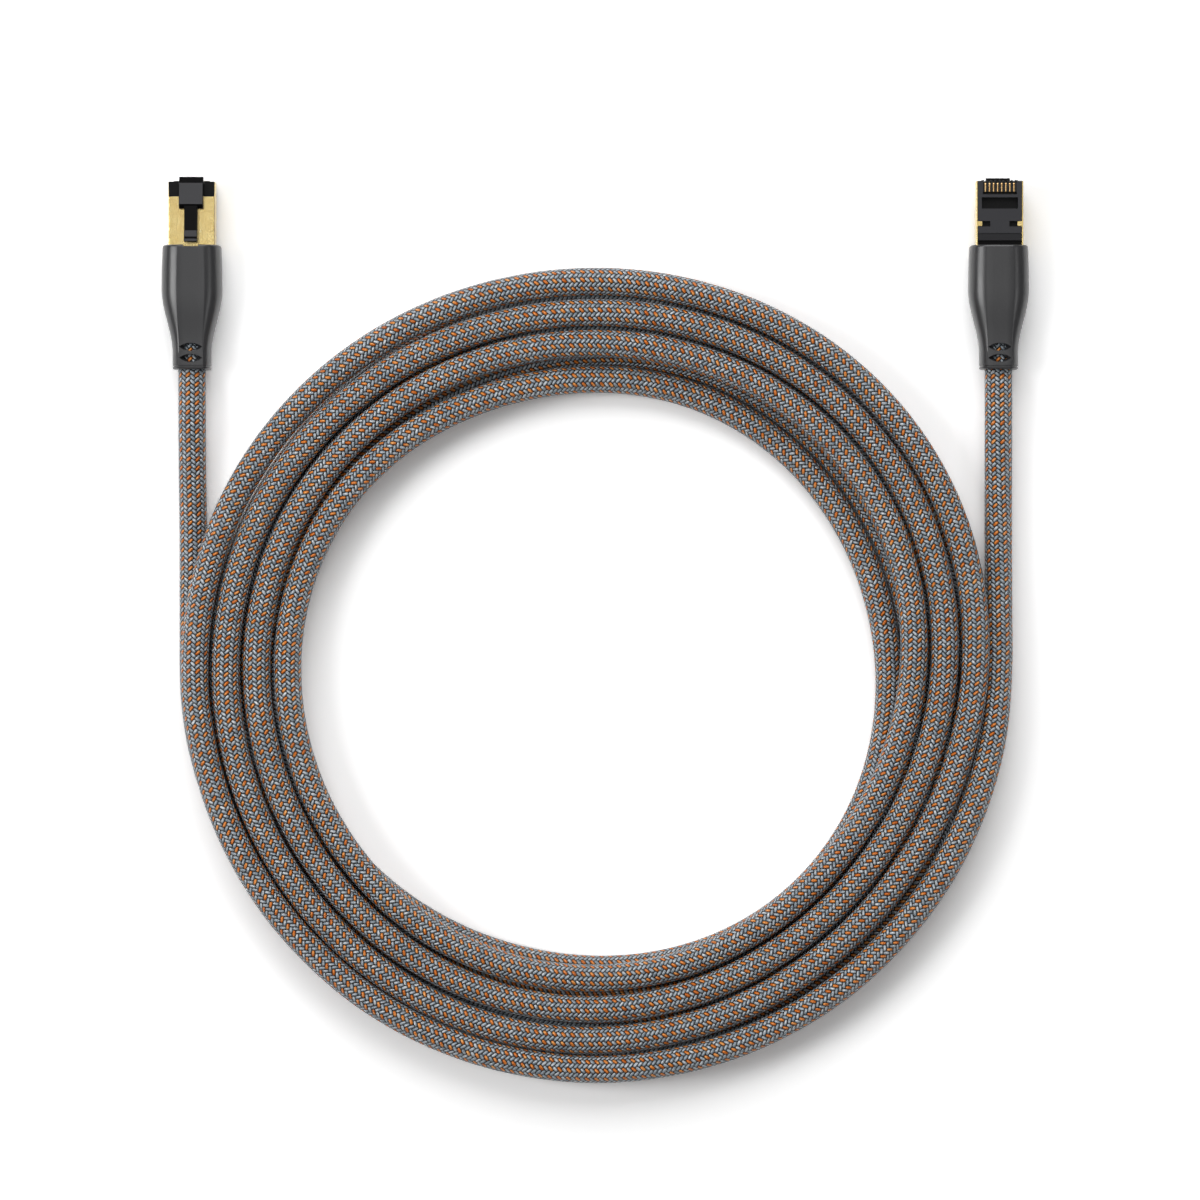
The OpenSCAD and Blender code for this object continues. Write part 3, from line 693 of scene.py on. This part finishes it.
def eased_copy(frame, node, name, radius, fold=None):
    """A copy of a solid with its edges rounded, as moulding or stamping leaves them. Edges that
    fold picks get the bend of sheet metal."""
    obj = bpy.data.objects.new(name, frame["nodes"][node].data.copy())
    obj.data.name = name
    bpy.context.scene.collection.objects.link(obj)
    shape = bmesh.new()
    shape.from_mesh(obj.data)
    bmesh.ops.remove_doubles(shape, verts=shape.verts, dist=0.001 * MM)
    bmesh.ops.dissolve_limit(shape, angle_limit=math.radians(1), verts=shape.verts,
                             edges=shape.edges)
    if fold:
        bmesh.ops.bevel(shape, geom=[e for e in shape.edges if fold(e)], offset=FOLD_R * MM,
                        segments=5, profile=0.5, affect="EDGES", clamp_overlap=True)
    shape.to_mesh(obj.data)
    shape.free()
    bevel = obj.modifiers.new("edges", "BEVEL")
    bevel.width = radius * MM
    bevel.segments = 2
    bevel.limit_method = "ANGLE"
    bevel.angle_limit = math.radians(25)
    bevel.use_clamp_overlap = True
    baked(obj)
    smooth_by_angle(obj, 30)
    # large faces keep their own normals, so that flats shade flat up to their rounded edges
    obj.modifiers.new("flats", "WEIGHTED_NORMAL").keep_sharp = True
    return baked(obj)


def texture_and_sheen_faces(obj, end, share):
    """Marks how much the mould textures each face, and so how much painted sheen it gets, by its
    middle and normal in the plug's frame.
    """
    flip, start = turned(end), at_end([0, 0, 0], end)
    marks = [float(share((np.array(face.center) / MM - start) * flip,
                         np.array(face.normal) * flip)) for face in obj.data.polygons]
    layer = obj.data.attributes.new("textured_painted_sheen", "FLOAT", "FACE")
    layer.data.foreach_set("value", marks)


def contact_side(middle, normal):
    """The housing's contact side is textured with a painted sheen, and its faces up to 0.3 lower
    get half as much, which paints shade into the recesses.
    """
    drop = middle[2] - CONTACT_Z
    if normal[2] >= -0.9 or drop >= 0.3:
        return 0.0
    # painted shade: faces below the contact face get half the sheen, so the recesses are darker
    return 1.0 if drop < 0.1 else 0.5


def latch_steps(middle, normal):
    """The up-facing plateau of the latch's head and its two thumb steps are textured, and get the
    paler painted sheen.
    """
    rise = math.radians(LATCH_RISE)
    back, up = middle[1] - HINGE_Y, middle[2] - HINGE_Z
    return normal[2] > 0.95 and up * math.cos(rise) + back * math.sin(rise) > PLATEAU


def plug(frame, end, finishes):
    """The hard parts of one plug: housing, shell, latch and contacts."""
    top = BOOT_H / 2 + (FACE_Z if end == "a" else -FACE_Z)

    def fold(edge):
        """The two long edges where the shell's sheet metal is folded."""
        first, last = (v.co / MM for v in edge.verts)
        return (abs(first.z - top) < 0.01 and abs(last.z - top) < 0.01
                and abs(first.x - last.x) < 0.01 and abs(first.y - last.y) > 5)

    housing = eased_copy(frame, "housing_" + end, "plug_housing_" + end, 0.1)
    texture_and_sheen_faces(housing, end, contact_side)
    dress(housing, finishes["housing"], replaced=("housing_" + end,))
    shell = eased_copy(frame, "shield_shell_" + end, "gold_shell_" + end, 0.05, fold)
    dress(shell, finishes["shell"], replaced=("shield_shell_" + end,))
    latch = eased_copy(frame, "latch_" + end, "plug_latch_" + end, 0.08)
    texture_and_sheen_faces(latch, end, latch_steps)
    dress(latch, finishes["latch"], body="latch_" + end,
          replaced=("latch_" + end,))
    for pin in range(1, 9):
        node = "contact_%d_%s" % (pin, end)
        blade = eased_copy(frame, node, "gold_" + node, 0.08)
        dress(blade, finishes["contact"], replaced=(node,))


def inside_parts(frame, finishes):
    """The solids that stay as they are get their finish."""
    for end in ENDS:
        for node, finish in finishes.items():
            obj = frame["nodes"][node + "_" + end]
            obj.data.materials.clear()
            obj.data.materials.append(finish)


# ------------------------------------------------------------------ studio

def floor():
    """A white floor that keeps the cable's shadow. Where the camera or a mirror-like surface sees
    it, it is a little paler, so that the open floor shows plain white."""
    material, tree = new_material("white_floor")
    path = add(tree, "ShaderNodeLightPath")
    seen = add(tree, "ShaderNodeMath", [path.outputs["Is Camera Ray"],
                                        path.outputs["Is Glossy Ray"]], operation="MAXIMUM")
    seen = add(tree, "ShaderNodeMath", [seen, path.outputs["Is Transmission Ray"]],
               operation="MAXIMUM")
    paper = add(tree, "ShaderNodeBsdfDiffuse", {"Color": linear("#F2F2F2")})
    extra = add(tree, "ShaderNodeMix",
                {"Factor": seen, "A": linear("#000000"), "B": linear("#B4B4B4")},
                data_type="RGBA").outputs["Result"]
    paler = add(tree, "ShaderNodeBsdfDiffuse", {"Color": extra})
    shader = add(tree, "ShaderNodeAddShader", [paper, paler])
    add(tree, "ShaderNodeOutputMaterial", [shader])
    half = 9000                         # far beyond every view
    corners = [(-half, -half, 0), (half, -half, 0), (half, half, 0), (-half, half, 0)]
    obj = mesh_object("floor", corners, [(0, 1, 2, 3)], smooth=False)
    obj.data.materials.append(material)


def softbox(name, direction, distance, height, width, radiance):
    """A rectangular lamp that faces the middle of the cable, its width level. In metres."""
    lamp = bpy.data.lights.new(name, "AREA")
    lamp.shape = "RECTANGLE"
    lamp.size = width
    lamp.size_y = height
    lamp.energy = radiance * math.pi * height * width
    obj = bpy.data.objects.new(name, lamp)
    middle = Vector((0.0, -0.08, 0.0))
    away = Vector(direction).normalized()
    obj.location = middle + away * distance
    level = Vector((0, 0, 1)).cross(away)
    level = level.normalized() if level.length > 0.01 else Vector((0, 1, 0))
    rise = away.cross(level)
    obj.rotation_euler = Matrix((level, rise, away)).transposed().to_euler()
    bpy.context.scene.collection.objects.link(obj)


def studio():
    """A large softbox behind, a tall panel on the left, a weak strip on the right, a soft panel
    overhead and a grey room that is darker at the top."""
    softbox("key_softbox", (-0.03, 0.7, 0.72), 1.5, 1.2, 1.3, 3.2)
    softbox("left_panel", (-0.72, 0.04, 0.7), 1.5, 0.8, 0.45, 7.5)
    softbox("fill_strip", (0.66, -0.05, 0.74), 1.6, 0.25, 0.7, 2.5)
    softbox("overhead_panel", (0.0, 0.0, 1.0), 2.2, 0.9, 0.9, 1.1)
    world = bpy.data.worlds.new("white_room")
    world.use_nodes = True
    tree = world.node_tree
    tree.nodes.clear()
    direction = add(tree, "ShaderNodeTexCoord").outputs["Generated"]
    height = add(tree, "ShaderNodeSeparateXYZ", [direction]).outputs["Z"]
    walls = add(tree, "ShaderNodeMapRange",
                {"Value": height, "From Min": 0.1, "From Max": 0.5, "To Min": 0.3,
                 "To Max": 0.19}).outputs[0]
    ceiling = add(tree, "ShaderNodeMapRange",
                  {"Value": height, "From Min": 0.75, "From Max": 0.95, "To Min": 0.0,
                   "To Max": 0.04}).outputs[0]
    strength = add(tree, "ShaderNodeMath", [walls, ceiling], operation="SUBTRACT")
    room = add(tree, "ShaderNodeBackground",
               {"Color": linear("#FFFFFF"), "Strength": strength})
    add(tree, "ShaderNodeOutputWorld", [room])
    bpy.context.scene.world = world


def camera():
    """A long lens straight above, whose view is 300 mm wide at the plugs' height."""
    lens_data = bpy.data.cameras.new("camera")
    lens_data.sensor_width = SENSOR_W
    lens_data.lens = SENSOR_W * CAMERA_HEIGHT / VIEW_W
    lens_data.clip_start = 0.05
    obj = bpy.data.objects.new("camera", lens_data)
    obj.location = [c * MM for c in (*CAMERA_PLACE, CAMERA_HEIGHT + BOOT_H / 2)]
    bpy.context.scene.collection.objects.link(obj)
    bpy.context.scene.camera = obj


def main():
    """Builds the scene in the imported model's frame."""
    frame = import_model()
    camera()
    sleeve = woven_sleeve()
    braided_cable(sleeve)
    rubber = moulded("satin_elastomer_boot", "#28282A", 0.25, 0.12, 0.01, gloss=0.75)
    finishes = {
        # the paler textured colours of housing and latch are painted sheen
        "housing": moulded("black_polycarbonate_housing", "#0B0B0C", 0.34, 0.1, 0.006, gloss=0.15,
                           textured_painted_sheen="#38383B"),
        "latch": moulded("black_polycarbonate_latch", "#060607", 0.34, 0.1, 0.006, gloss=0.06,
                         textured_painted_sheen="#444446"),
        "shell": gold("gold_plated_shell", "#D4B266", "#FFECAE", 0.22, 0.2, 0.03),
        "contact": gold("gold_plated_contact", "#DDA868", "#F3D49C", 0.24, 0.3, 0.01)}
    for end in ENDS:
        sleeve_end(end, sleeve)
        boot(end, rubber)
        plug(frame, end, finishes)
    inside_parts(frame, {
        "load_bar": moulded("clear_load_bar", "#DADBD4", 0.25, 0.2, 0.005),
        "inner_mould": moulded("natural_inner_mould", "#B0B0A8", 0.45, 0.2, 0.01),
        "jacket_end": moulded("pvc_cable_jacket", "#2F2F32", 0.45, 0.2, 0.01),
        "folded_shield": bright_metal("tinned_shield_wire", "#C9C4BC", 0.35),
        "pair_foils": bright_metal("pair_foil", "#DCDDE0", 0.25),
        "orange_pair": striped_wires("orange_insulation", "#EFE4D6", "#E07F2A"),
        "green_pair": striped_wires("green_insulation", "#D9E8D9", "#3F9148"),
        "blue_pair": striped_wires("blue_insulation", "#DCE3F0", "#4A6FC2"),
        "brown_pair": striped_wires("brown_insulation", "#E6DCD2", "#7A4F34")})
    floor()
    studio()
    bpy.context.scene.view_settings.view_transform = "Standard"


main()
